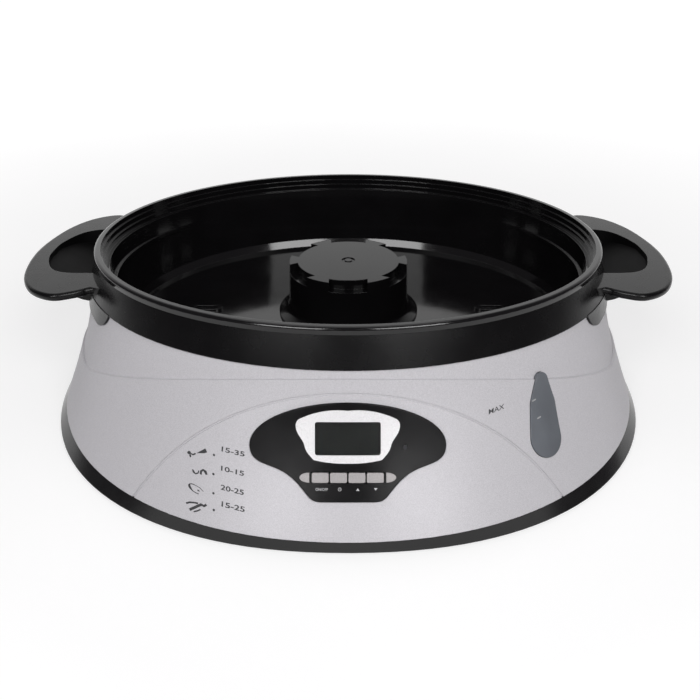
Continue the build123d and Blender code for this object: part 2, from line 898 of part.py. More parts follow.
# ---------------------------------------------------------------- heater
gasket_top = floor_underside - seat
plate_flange_top = gasket_top - gasket_thickness - seat
plate_flange_bottom = plate_flange_top - heater_plate_thickness
clamp_top = floor_underside - boss_length - seat

with BuildPart() as heater_gasket:
    with BuildSketch(Plane.XY.offset(gasket_top - gasket_thickness)):
        Circle(gasket_radius)
        Circle(heater_opening + 0.8, mode=Mode.SUBTRACT)
    extrude(amount=gasket_thickness)
save(heater_gasket, "heater_gasket")

with BuildPart() as heater_plate:
    with BuildSketch(Plane.XZ):
        Polygon(
            (0, plate_flange_bottom),
            (heater_plate_radius, plate_flange_bottom),
            (heater_plate_radius, plate_flange_top),
            (heater_opening - fit, plate_flange_top),
            (heater_opening - fit - heater_plate_slope, floor_height),
            (0, floor_height + heater_plate_crown),
            align=None,
        )
    revolve()
save(heater_plate, "heater_plate")

element_top = plate_flange_bottom - seat
element_bottom = element_top - 2 * element_radius
with BuildPart() as heater_element:
    # cast horseshoe with a terminal pin at each end
    element_arc = CenterArc((0, 0), element_ring_radius, 90 + element_gap / 2, 360 - element_gap)
    with BuildSketch(Plane.XY.offset(element_bottom)):
        SlotArc(element_arc, 2 * element_radius)
    extrude(amount=2 * element_radius)
    with BuildSketch(Plane.XY.offset(element_bottom)):
        with Locations(element_arc @ 0, element_arc @ 1):
            Circle(element_pin_radius)
    extrude(amount=-element_pin_length)
save(heater_element, "heater_element")

with BuildPart() as heater_clamp:
    with BuildSketch(Plane.XY.offset(clamp_top - clamp_thickness)):
        Circle(clamp_radius)
        Circle(heater_plate_radius - clamp_grip, mode=Mode.SUBTRACT)
        with PolarLocations(clamp_screw_circle, 4, start_angle=45):
            Circle(clamp_screw_radius + seat, mode=Mode.SUBTRACT)
    extrude(amount=clamp_thickness)
save(heater_clamp, "heater_clamp")

with BuildPart() as clamp_screws:
    with Locations((0, 0, clamp_top - clamp_thickness - seat)):
        with PolarLocations(clamp_screw_circle, 4, start_angle=45):
            Cylinder(clamp_screw_head, clamp_screw_head_height, align=hanging)
            Cylinder(clamp_screw_radius, boss_length, align=standing)
save(clamp_screws, "clamp_screws")

with BuildPart(Plane.XY.offset(plate_flange_bottom - seat)) as thermostat:
    Cylinder(thermostat_radius, thermostat_height, align=hanging)
    Cylinder(thermostat_radius + thermostat_cap, thermostat_cap, align=hanging)
    with Locations((0, 0, -thermostat_height)):
        with GridLocations(2 * thermostat_tab_across, 0, 2, 1):
            Box(*thermostat_tab, align=hanging)
save(thermostat, "thermostat")

with BuildPart(Plane.XY.offset(plate_flange_bottom - seat - fuse_radius)) as thermal_fuse:
    with Locations(
        (0, -(thermostat_radius + thermostat_cap + element_ring_radius - element_radius) / 2, 0)
    ):
        Cylinder(fuse_radius, fuse_length, rotation=(0, 90, 0))
        Cylinder(fuse_lead_radius, fuse_length + 2 * fuse_lead_length, rotation=(0, 90, 0))
save(thermal_fuse, "thermal_fuse")

# ---------------------------------------------------------------- control panel
with BuildPart() as bezel_flange_ring:
    with BuildSketch(panel_plane):
        add(bezel_outline(bezel_flange))
        add(bezel_outline(-bezel_flange_overlap), mode=Mode.SUBTRACT)
    extrude(amount=cut_reach, both=True)
    flange_inset = housing_wall + fit
    add(
        skin(flange_inset, flange_inset + bezel_flange_thickness, body_bottom, body_top),
        mode=Mode.INTERSECT,
    )

with BuildPart() as frame_recess:
    with BuildSketch(panel_plane):
        add(shield_outline(seat))
    extrude(amount=cut_reach, both=True)
    add(bell_solid(-frame_sink, body_bottom, body_top), mode=Mode.SUBTRACT)

button_places = [
    ((index - (button_count - 1) / 2) * button_pitch, button_row) for index in range(button_count)
]
button_row_width = (button_count - 1) * button_pitch + button_width

bezel_root = housing_wall + fit + joint_overlap
with BuildPart() as control_bezel:
    with BuildSketch(panel_plane):
        add(bezel_outline())
    extrude(amount=cut_reach, both=True)
    add(skin(-bezel_proud, bezel_root, body_bottom, body_top), mode=Mode.INTERSECT)
    add(bezel_flange_ring.part)
    add(frame_recess.part, mode=Mode.SUBTRACT)
    # pocket for the display and its window
    with BuildSketch(panel_plane.offset(seat - module_depth)):
        with Locations((0, lens_centre)):
            Rectangle(module_width + 2 * fit, module_height + 2 * fit)
    extrude(amount=-cut_reach, mode=Mode.SUBTRACT)
    with BuildSketch(panel_plane):
        with Locations((0, lens_centre)):
            Rectangle(lens_width - 2 * lens_rest, lens_height - 2 * lens_rest)
        with Locations((0, button_row)):
            row_height = button_height + 2 * running
            RectangleRounded(button_row_width + 2 * running, row_height, button_corner)
        with Locations((led_across, led_up)):
            Circle(led_radius + fit / 2)
    extrude(amount=cut_reach, both=True, mode=Mode.SUBTRACT)
    # pillars that carry the control board
    with BuildSketch(panel_plane.offset(seat - board_depth)):
        with Locations(*pillar_places):
            Circle(pillar_radius)
    extrude(until=Until.NEXT)
    with BuildSketch(panel_plane.offset(seat - board_depth)):
        with Locations(*pillar_places):
            Circle(pillar_hole_radius)
    extrude(amount=pillar_hole_depth, mode=Mode.SUBTRACT)
save(control_bezel, "control_bezel")

with BuildPart() as lcd_frame:
    with BuildSketch(panel_plane):
        add(shield_outline())
        with Locations((0, lens_centre)):
            RectangleRounded(
                lens_width + 2 * seat, lens_height + 2 * seat, lens_corner + seat, mode=Mode.SUBTRACT
            )
    extrude(amount=cut_reach, both=True)
    add(skin(-frame_proud, -frame_sink - seat, body_bottom, body_top), mode=Mode.INTERSECT)
save(lcd_frame, "lcd_frame")

with BuildPart() as lcd_lens:
    with BuildSketch(panel_plane):
        with Locations((0, lens_centre)):
            RectangleRounded(lens_width, lens_height, lens_corner)
    extrude(amount=cut_reach, both=True)
    add(skin(-lens_proud, -frame_sink - seat, body_bottom, body_top), mode=Mode.INTERSECT)
save(lcd_lens, "lcd_lens")

with BuildPart() as lcd_module:
    with BuildSketch(panel_plane.offset(-module_depth)):
        with Locations((0, lens_centre)):
            Rectangle(module_width, module_height)
    extrude(amount=-module_thickness)
    # carrier legs down to the board
    with BuildSketch(panel_plane.offset(seat - board_depth)):
        with Locations((0, lens_centre)):
            Rectangle(module_width, module_height)
            Rectangle(module_width - 2 * module_wall, module_height - 2 * module_wall, mode=Mode.SUBTRACT)
    extrude(amount=board_depth - module_depth - module_thickness)
save(lcd_module, "lcd_module")

button_skin = bell_solid(-button_proud, body_bottom, body_top)
flange_depth = -bezel_root * panel_plane.z_dir.Y + button_flange_gap + running
stem_end = board_depth - switch_body - switch_plunger - seat - running - button_travel
for number, place in enumerate(button_places, start=1):
    with BuildPart() as button:
        with BuildSketch(panel_plane.offset(-flange_depth - joint_overlap)):
            with Locations(place):
                RectangleRounded(button_width, button_height, button_corner)
        extrude(amount=cut_reach)
        add(button_skin, mode=Mode.INTERSECT)
        with BuildSketch(panel_plane.offset(-flange_depth)):
            with Locations(place):
                Rectangle(button_width, button_height + 2 * running + 2 * button_flange)
        extrude(amount=-button_flange_thickness)
        with BuildSketch(panel_plane.offset(-flange_depth)):
            with Locations(place):
                Circle(button_stem_radius)
        extrude(amount=flange_depth - stem_end)
    save(button, f"button_{number}")

    with BuildPart() as tact_switch:
        with BuildSketch(panel_plane.offset(seat - board_depth)):
            with Locations(place):
                Rectangle(switch_size, switch_size)
        extrude(amount=switch_body)
        with BuildSketch(panel_plane.offset(seat + switch_body - board_depth)):
            with Locations(place):
                Circle(switch_plunger_radius)
        extrude(amount=switch_plunger)
    save(tact_switch, f"tact_switch_{number}")

for name, side in (("trim_left", -1), ("trim_right", 1)):
    with BuildPart() as trim:
        with BuildSketch(panel_plane):
            with Locations((side * trim_start, button_row)):
                Ellipse(trim_length, button_height / 2)
            with Locations((side * (trim_start - trim_length), button_row)):
                Rectangle(2 * trim_length, 2 * button_height, mode=Mode.SUBTRACT)
        extrude(amount=cut_reach, both=True)
        add(skin(-trim_proud, -bezel_proud - seat, body_bottom, body_top), mode=Mode.INTERSECT)
    save(trim, name)

with BuildPart() as led_pipe:
    with BuildSketch(panel_plane.offset(seat - board_depth)):
        with Locations((led_across, led_up)):
            Circle(led_radius)
    extrude(amount=cut_reach)
    add(bell_solid(-led_proud, body_bottom, body_top), mode=Mode.INTERSECT)
save(led_pipe, "led_pipe")

with BuildPart() as control_board:
    with BuildSketch(panel_plane.offset(-board_depth)):
        with Locations((0, control_board_centre)):
            RectangleRounded(control_board_width, control_board_height, board_corner)
        with Locations(*pillar_places):
            Circle(pillar_hole_radius + fit, mode=Mode.SUBTRACT)
    extrude(amount=-board_thickness)
save(control_board, "control_board")

board_back = panel_plane.offset(-board_depth - board_thickness - seat)
with BuildPart() as control_screws:
    with BuildSketch(board_back):
        with Locations(*pillar_places):
            Circle(small_screw_head)
    extrude(amount=-small_screw_head_height)
    with BuildSketch(board_back):
        with Locations(*pillar_places):
            Circle(small_screw_radius)
    extrude(amount=board_thickness + 2 * seat + pillar_hole_depth - joint_overlap)
save(control_screws, "control_screws")

with BuildPart() as buzzer:
    with BuildSketch(board_back):
        with Locations(buzzer_place):
            Circle(buzzer_radius)
    extrude(amount=-buzzer_height)
    with BuildSketch(board_back.offset(-buzzer_height)):
        with Locations(buzzer_place):
            Circle(buzzer_hole_radius)
    extrude(amount=buzzer_hole_depth, mode=Mode.SUBTRACT)
save(buzzer, "buzzer")

# ---------------------------------------------------------------- water level window
with BuildPart() as level_lens:
    with BuildSketch(window_plane):
        add(drop_outline())
    extrude(amount=cut_reach, both=True)
    add(skin(-window_proud, housing_wall, body_bottom, body_top), mode=Mode.INTERSECT)
save(level_lens, "level_lens")

with BuildPart() as level_gasket:
    with BuildSketch(window_plane):
        add(drop_outline(gasket_margin))
        add(drop_outline(-gasket_overlap), mode=Mode.SUBTRACT)
    extrude(amount=cut_reach, both=True)
    gasket_front = housing_wall + seat
    gasket_back = gasket_front + level_gasket_thickness
    add(skin(gasket_front, gasket_back, body_bottom, body_top), mode=Mode.INTERSECT)
save(level_gasket, "level_gasket")

with BuildPart() as level_chamber:
    with BuildSketch(window_plane.offset(-chamber_back)):
        add(drop_outline(chamber_margin))
    extrude(amount=chamber_back)
    with BuildSketch(window_plane.offset(chamber_wall - chamber_back)):
        add(drop_outline(chamber_margin - chamber_wall))
    extrude(amount=chamber_back, mode=Mode.SUBTRACT)
    add(bell_solid(gasket_back + seat, body_bottom, body_top), mode=Mode.INTERSECT)
    with BuildSketch(hose_plane.offset(-chamber_wall)):
        Circle(nipple_radius)
    extrude(amount=nipple_length + chamber_wall)
    with BuildSketch(hose_plane.offset(-nipple_length)):
        Circle(nipple_bore)
    extrude(amount=2 * nipple_length, mode=Mode.SUBTRACT)
save(level_chamber, "level_chamber")

with BuildPart() as level_hose:
    with BuildSketch(hose_plane.offset(hose_gap)):
        Circle(nipple_radius + seat / 2 + hose_wall)
        Circle(nipple_radius + seat / 2, mode=Mode.SUBTRACT)
    extrude(amount=hose_span - 2 * hose_gap)
save(level_hose, "level_hose")

# ---------------------------------------------------------------- cord gland and power parts
gland_plane = Plane(origin=(0, pad_face, gland_height), z_dir=(0, 1, 0))
with BuildPart() as cord_gland:
    with BuildSketch(gland_plane.offset(seat)):
        Circle(gland_flange)
    extrude(amount=gland_flange_thickness)
    chamfer(cord_gland.edges().group_by(Axis.Y)[-1], gland_edge)
    with BuildSketch(gland_plane.offset(-gland_pad_thickness - seat - gland_flange_thickness)):
        Circle(gland_neck)
    extrude(amount=gland_pad_thickness + gland_flange_thickness + 2 * seat + joint_overlap)
    with BuildSketch(gland_plane.offset(-gland_pad_thickness - seat - gland_flange_thickness)):
        Circle(gland_neck + gland_barb)
    extrude(amount=gland_flange_thickness)
    with BuildSketch(gland_plane):
        Circle(gland_bore)
    extrude(amount=cut_reach, both=True, mode=Mode.SUBTRACT)
save(cord_gland, "cord_gland")

pin_across = element_ring_radius * sin(radians(element_gap / 2))
pin_along = element_ring_radius * cos(radians(element_gap / 2))
pin_end = element_bottom - element_pin_length
with BuildPart() as terminal_block:
    with Locations((0, terminal_distance, plate_top + seat)):
        block_width = 2 * pin_across + terminal_depth
        Box(block_width, terminal_depth, terminal_height, align=(Align.CENTER, Align.MIN, Align.MIN))
    with BuildSketch(Plane.XY.offset(plate_top + seat + terminal_height)):
        with Locations((0, terminal_distance + terminal_depth / 2)):
            with GridLocations(2 * pin_across, 0, 2, 1):
                Circle(terminal_screw_radius)
    extrude(amount=-terminal_screw_depth, mode=Mode.SUBTRACT)
    with BuildSketch(Plane.XZ.offset(-terminal_distance)):
        with Locations((-pin_across, lead_height), (pin_across, lead_height)):
            Circle(lead_radius + seat)
    extrude(amount=-lead_insertion - seat, mode=Mode.SUBTRACT)
save(terminal_block, "terminal_block")

for name, side in (("heater_lead_live", -1), ("heater_lead_neutral", 1)):
    with BuildPart() as lead:
        with BuildLine() as lead_path:
            FilletPolyline(
                (side * pin_across, pin_along, pin_end - seat),
                (side * pin_across, pin_along, lead_height),
                (side * pin_across, terminal_distance + lead_insertion, lead_height),
                radius=lead_bend,
            )
        with BuildSketch(Plane(origin=lead_path.line @ 0, z_dir=(0, 0, -1))):
            Circle(lead_radius)
        sweep(path=lead_path.line)
    save(lead, name)

board_low = plate_top + standoff_height + seat
board_top = board_low + board_thickness
board_x, board_y = power_board_centre
with BuildPart() as power_board:
    with BuildSketch(Plane.XY.offset(board_low)):
        with Locations(power_board_centre):
            RectangleRounded(power_board_length, power_board_width, board_corner)
            with GridLocations(board_hole_span, board_hole_rise, 2, 2):
                Circle(board_screw_radius + fit, mode=Mode.SUBTRACT)
    extrude(amount=board_thickness)
save(power_board, "power_board")



def on_board(offset):
    """Plane that stands a component on the power board at an offset from its middle."""
    return Plane.XY.offset(board_top + seat).shift_origin(
        (board_x + offset[0], board_y + offset[1], board_top + seat)
    )


with BuildPart(on_board(transformer_offset)) as transformer:
    Box(*transformer_core, align=standing)
    Box(*transformer_winding, align=standing)
save(transformer, "transformer")

with BuildPart(on_board(relay_offset)) as relay:
    Box(*relay_case, align=standing)
    fillet(relay.edges().filter_by(Axis.Z), case_edge)
save(relay, "relay")

with BuildPart(on_board(mains_capacitor_offset)) as mains_capacitor:
    Box(*mains_capacitor_case, align=standing)
    fillet(mains_capacitor.edges().filter_by(Axis.Z), case_edge)
save(mains_capacitor, "mains_capacitor")

with BuildPart(on_board(smoothing_capacitor_offset)) as smoothing_capacitor:
    Cylinder(smoothing_capacitor_radius, smoothing_capacitor_height, align=standing)
save(smoothing_capacitor, "smoothing_capacitor")

with BuildPart() as power_screws:
    with Locations((board_x, board_y, board_top + seat)):
        with GridLocations(board_hole_span, board_hole_rise, 2, 2):
            Cylinder(board_screw_head, board_screw_head_height, align=standing)
            shank_length = seat + board_thickness + standoff_height - plate_floor
            Cylinder(board_screw_radius, shank_length, align=hanging)
save(power_screws, "power_screws")

with BuildPart() as base_screws:
    with Locations((0, 0, plate_bottom + screw_head_height + screw_head_sink - seat)):
        with GridLocations(2 * post_across, 2 * post_along, 2, 2):
            Cylinder(screw_head_radius, screw_head_height, align=hanging)
            Cylinder(screw_radius - seat, post_screw_length, align=standing)
save(base_screws, "base_screws")

ribbon_start = board_back.from_local_coords((0, ribbon_up, 0))
ribbon_out = board_back.from_local_coords((0, ribbon_up, -ribbon_stub))
ribbon_low = plate_top + ribbon_clearance
ribbon_high = board_top + ribbon_arch
ribbon_front = board_y - power_board_width / 2
with BuildPart() as ribbon_cable:
    with BuildSketch(Plane.YZ.offset(ribbon_left)):
        with BuildLine():
            FilletPolyline(
                (ribbon_start.Y, ribbon_start.Z),
                (ribbon_out.Y, ribbon_out.Z),
                (ribbon_out.Y + ribbon_fall, ribbon_low),
                (ribbon_front - ribbon_approach - ribbon_climb, ribbon_low),
                (ribbon_front - ribbon_approach, ribbon_high),
                (ribbon_front + ribbon_landing, ribbon_high),
                (ribbon_front + ribbon_landing, board_top + seat),
                radius=ribbon_bend,
            )
        trace(line_width=ribbon_thickness)
    extrude(amount=ribbon_width)
save(ribbon_cable, "ribbon_cable")
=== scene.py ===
"""Looks of the food steamer base: materials, printed marks, studio and camera."""

import json
from math import atan2, cos, pi, radians, sin, sqrt

import bmesh
import bpy
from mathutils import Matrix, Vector
from mathutils.bvhtree import BVHTree
from mathutils.geometry import interpolate_bezier


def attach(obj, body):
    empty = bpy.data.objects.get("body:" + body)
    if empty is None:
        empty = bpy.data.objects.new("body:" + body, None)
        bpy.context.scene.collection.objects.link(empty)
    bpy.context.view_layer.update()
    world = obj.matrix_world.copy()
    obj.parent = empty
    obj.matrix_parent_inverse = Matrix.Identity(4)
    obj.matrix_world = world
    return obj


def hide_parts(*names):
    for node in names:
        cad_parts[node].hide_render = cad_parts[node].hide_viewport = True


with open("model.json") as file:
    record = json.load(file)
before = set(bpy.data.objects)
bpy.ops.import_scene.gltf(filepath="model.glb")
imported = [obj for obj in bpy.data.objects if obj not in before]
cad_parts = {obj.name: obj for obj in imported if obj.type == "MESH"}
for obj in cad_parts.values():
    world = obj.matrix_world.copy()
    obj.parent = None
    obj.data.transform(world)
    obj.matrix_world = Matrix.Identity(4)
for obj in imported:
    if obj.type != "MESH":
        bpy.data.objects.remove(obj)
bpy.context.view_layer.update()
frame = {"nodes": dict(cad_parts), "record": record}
nodes = frame["nodes"]
slot_of = {part["node"]: part["material_slot"] for part in frame["record"]["subparts"]}
MM = 0.001
ACROSS = (1, 0, 0)
INTO = (0, 1, 0)
SHARP_ANGLE = 28

# ---------------------------------------------------------------- colours (linear)
SILVER = (0.590, 0.578, 0.602)
BLACK = (0.0032, 0.0030, 0.0033)
EDGE_TINT = (0.42, 0.41, 0.44, 1.0)
PRINT_GREY = (0.035, 0.035, 0.038)
PRINT_WHITE = (0.55, 0.55, 0.56)
SMOKE = (0.22, 0.235, 0.26)
DISPLAY = (0.012, 0.014, 0.013)

# ---------------------------------------------------------------- prints
INK_THICKNESS = 0.06 * MM
SEARCH_REACH = 0.2
PRINT_FRONT = -0.2
WINDOW_FRONT = 0.05
PANEL_MIDDLE = (0, -153.87, 46)
PANEL_UP = (0, 0.5088, 0.8609)
PANEL_NORMAL = (0, -0.8609, 0.5088)
PANEL_FRONT = 20
LABEL_RISE = -0.0184

# ---------------------------------------------------------------- finger pockets, metres
POCKET_START, POCKET_END, POCKET_MIDDLE = 0.1500, 0.1882, 0.1650
POCKET_HALF_LENGTH = 0.0380
POCKET_MOUTH = 0.0899
POCKET_FLOOR = 0.0850

# ---------------------------------------------------------------- handle outline, metres from its heart
HANDLE_HEART = 0.1500
HANDLE_LOW, HANDLE_HIGH, HANDLE_ROUND = 0.0855, 0.0900, 0.0020
HANDLE_INNER = 0.0456
HANDLE_ROOT = 0.0614
HANDLE_SLACK = 0.0002
HANDLE_OUTLINE = (
    (0.0485, 0.0),
    (0.04365, 0.035),
    (0.033, 0.0575),
    (0.0179, 0.068),
    (0.0058, 0.0649),
    (-0.00485, 0.0585),
)

# ---------------------------------------------------------------- camera and studio
CAMERA_PLACE = (0.00107, -0.4392, 0.2636)
CAMERA_PITCH = 60.623
CAMERA_LENS = 37.65
CAMERA_SENSOR = 36.0
LIT_POINT = (0, 0, 0.05)
KEY_LIGHT = ((-0.48, -1.12, 0.95), 0.6, 0.6, 8.9)
FILL_LIGHT = ((0.50, -1.08, 0.90), 0.6, 0.6, 9.2)
TOP_LIGHT = ((0.0, 0.30, 1.40), 1.2, 0.9, 2.4)
ROOM_TINT = (0.99, 0.93, 1.0, 1)
ROOM_LEVEL = 0.11
WHITE = (1, 1, 1, 1)
BEHIND_START, BEHIND_END = 0.35, 0.85
FLOOR_HALF_SIZE = 9
FLOOR_HEIGHT = -0.0002
FLOOR_PALE, FLOOR_PALER = (0.44, 0.44, 0.44), (0.46, 0.46, 0.46)
FLOOR_NEAR, FLOOR_FAR = 0.25, 1.20
FLOOR_GLOW_NEAR = 0.62


# ---------------------------------------------------------------- shader helpers
class Shader:
    """A material under construction: its node tree, its main shader and short ways to wire them."""

    def __init__(self, name):
        self.material = bpy.data.materials.new(name)
        self.material.use_nodes = True
        self.tree = self.material.node_tree
        self.main = self.tree.nodes["Principled BSDF"]
        self.coordinates = self.add("ShaderNodeTexCoord").outputs["Object"]

    def add(self, kind, **settings):
        """New node, with its properties and input values set by name."""
        node = self.tree.nodes.new(kind)
        for key, value in settings.items():
            socket = key.replace("_", " ").title()
            if socket in node.inputs:
                node.inputs[socket].default_value = value
            else:
                setattr(node, key, value)
        return node

    def link(self, start, end):
        self.tree.links.new(start, end)

    def set(self, **values):
        """Plain values on the main shader's own sockets."""
        for key, value in values.items():
            self.main.inputs[key.replace("_", " ")].default_value = value
        return self

    def stretched(self, x, y, z):
        """Object coordinates scaled differently along each axis."""
        mapping = self.add("ShaderNodeMapping")
        mapping.inputs["Scale"].default_value = (x, y, z)
        self.link(self.coordinates, mapping.inputs["Vector"])
        return mapping.outputs["Vector"]

    def noise(self, scale, detail=3.0, vector=None):
        node = self.add("ShaderNodeTexNoise", scale=scale, detail=detail)
        self.link(vector or self.coordinates, node.inputs["Vector"])
        return node.outputs["Fac"]

    def ramp(self, factor, low, high, start=0.3, end=0.7):
        """Blend of two colours by a factor."""
        node = self.add("ShaderNodeValToRGB")
        first, last = node.color_ramp.elements
        first.position, first.color = start, (*low, 1)
        last.position, last.color = end, (*high, 1)
        self.link(factor, node.inputs["Fac"])
        return node.outputs["Color"]

    def spread(self, factor, low, high):
        """Value between two limits by a factor."""
        node = self.add("ShaderNodeMapRange")
        node.inputs["To Min"].default_value = low
        node.inputs["To Max"].default_value = high
        self.link(factor, node.inputs["Value"])
        return node.outputs["Result"]

    def colour(self, output):
        self.link(output, self.main.inputs["Base Color"])
        return self

    def roughness(self, output):
        self.link(output, self.main.inputs["Roughness"])
        return self

    def bump(self, height, depth, strength=0.5, soft_edge=0.0):
        """Surface relief, over edges softened by a small radius."""
        node = self.add("ShaderNodeBump")
        node.inputs["Distance"].default_value = depth
        node.inputs["Strength"].default_value = strength
        self.link(height, node.inputs["Height"])
        if soft_edge:
            edge = self.add("ShaderNodeBevel", samples=4)
            edge.inputs["Radius"].default_value = soft_edge
            self.link(edge.outputs["Normal"], node.inputs["Normal"])
        self.link(node.outputs["Normal"], self.main.inputs["Normal"])
        return self


def dark(colour, share):
    """A colour times a factor."""
    return tuple(channel * share for channel in colour)


# ---------------------------------------------------------------- materials
def silver_paint(name, colour=SILVER, roughness=0.34, soft_edge=0.0003, relief=0.25, metal=0.10):
    """Silver paint: fine flakes, faint orange peel and a very thin clear coat."""
    paint = Shader(name)
    flakes = paint.noise(2600, 2)
    peel = paint.noise(170, 2)
    paint.colour(paint.ramp(flakes, dark(colour, 0.90), dark(colour, 1.10), 0.35, 0.65))
    paint.roughness(paint.spread(paint.noise(900, 3), roughness - 0.04, roughness + 0.06))
    paint.bump(peel, 0.00003, relief, soft_edge)
    paint.set(Metallic=metal, Coat_Weight=0.02, Coat_Roughness=0.15, Specular_IOR_Level=0.08)
    return paint.set(Specular_Tint=EDGE_TINT).material


def moulded(name, colour, roughness=0.30, grain=1400, depth=0.00001, soft_edge=0.0004, gloss=0.5):
    """Moulded plastic: fine spark grain, a slight cloudiness and soft edges."""
    plastic = Shader(name)
    cloud = plastic.noise(35, 2)
    plastic.colour(plastic.ramp(cloud, dark(colour, 0.85), dark(colour, 1.15)))
    plastic.roughness(plastic.spread(plastic.noise(90, 4), roughness - 0.05, roughness + 0.06))
    plastic.bump(plastic.noise(grain, 2), depth, 0.4, soft_edge)
    return plastic.set(Specular_IOR_Level=gloss).material


def rubber(name, colour, roughness=0.75):
    """Soft rubber or silicone: dull, finely pitted."""
    soft = Shader(name)
    pits = soft.noise(1900, 4)
    soft.colour(soft.ramp(pits, dark(colour, 0.8), dark(colour, 1.15)))
    soft.roughness(soft.spread(pits, roughness - 0.1, roughness + 0.1))
    soft.bump(pits, 0.00004, 0.5)
    return soft.set(Sheen_Weight=0.15, Sheen_Roughness=0.5).material


def brushed_metal(name, colour, roughness=0.28, stretch=(40, 900, 900)):
    """Metal with fine brush lines along X."""
    metal = Shader(name)
    lines = metal.noise(1.5, 5, metal.stretched(*stretch))
    metal.colour(metal.ramp(lines, dark(colour, 0.82), dark(colour, 1.1)))
    metal.roughness(metal.spread(lines, roughness - 0.08, roughness + 0.14))
    metal.bump(lines, 0.00002, 0.4)
    return metal.set(Metallic=1.0).material


def circuit_board(name, colour=(0.02, 0.12, 0.055)):
    """Solder mask over copper tracks, which show as paler squares and lines."""
    board = Shader(name)
    tracks = board.add("ShaderNodeTexBrick", scale=220.0, mortar_size=0.03)
    board.link(board.coordinates, tracks.inputs["Vector"])
    tracks.inputs["Color1"].default_value = (*dark(colour, 0.8), 1)
    tracks.inputs["Color2"].default_value = (*colour, 1)
    tracks.inputs["Mortar"].default_value = (0.06, 0.24, 0.11, 1)
    board.colour(tracks.outputs["Color"])
    board.bump(tracks.outputs["Fac"], 0.00003, 0.4)
    return board.set(Roughness=0.35).material


def banded(name, first, second, bands, roughness=0.5):
    """Wound or ribbed piece: fine bands of two colours along X."""
    wound = Shader(name)
    wave = wound.add("ShaderNodeTexWave", scale=bands, distortion=0.4)
    wound.link(wound.coordinates, wave.inputs["Vector"])
    wound.colour(wound.ramp(wave.outputs["Fac"], first, second, 0.4, 0.6))
    wound.bump(wave.outputs["Fac"], 0.0001, 0.4)
    return wound.set(Roughness=roughness).material


def clear_plastic(name, colour, transmission, roughness=0.10, soft_edge=0.0004):
    """Tinted see-through plastic with flow lines."""
    clear = Shader(name)
    flow = clear.noise(60, 3, clear.stretched(1, 1, 0.35))
    clear.colour(clear.ramp(flow, dark(colour, 0.85), dark(colour, 1.15)))
    clear.roughness(clear.spread(clear.noise(400, 2), roughness, roughness + 0.06))
    clear.bump(flow, 0.00002, 0.2, soft_edge)
    return clear.set(Transmission_Weight=transmission, IOR=1.49).material


def display_glass(name):
    """Reflective liquid crystal panel: grey-green, with a fine cell grid."""
    panel = Shader(name)
    cells = panel.add("ShaderNodeTexBrick", scale=900.0, mortar_size=0.04, offset=0.0)
    panel.link(panel.coordinates, cells.inputs["Vector"])
    cells.inputs["Color1"].default_value = (*DISPLAY, 1)
    cells.inputs["Color2"].default_value = (*dark(DISPLAY, 0.95), 1)
    cells.inputs["Mortar"].default_value = (*dark(DISPLAY, 0.8), 1)
    panel.colour(cells.outputs["Color"])
    panel.bump(panel.noise(300, 2), 0.00001, 0.2)
    return panel.set(Roughness=0.25).material


def printed(name, colour):
    """Screen-printed ink, slightly uneven."""
    ink = Shader(name)
    speck = ink.noise(2200, 3)
    ink.colour(ink.ramp(speck, dark(colour, 0.85), dark(colour, 1.2)))
    ink.roughness(ink.spread(speck, 0.45, 0.65))
    return ink.material


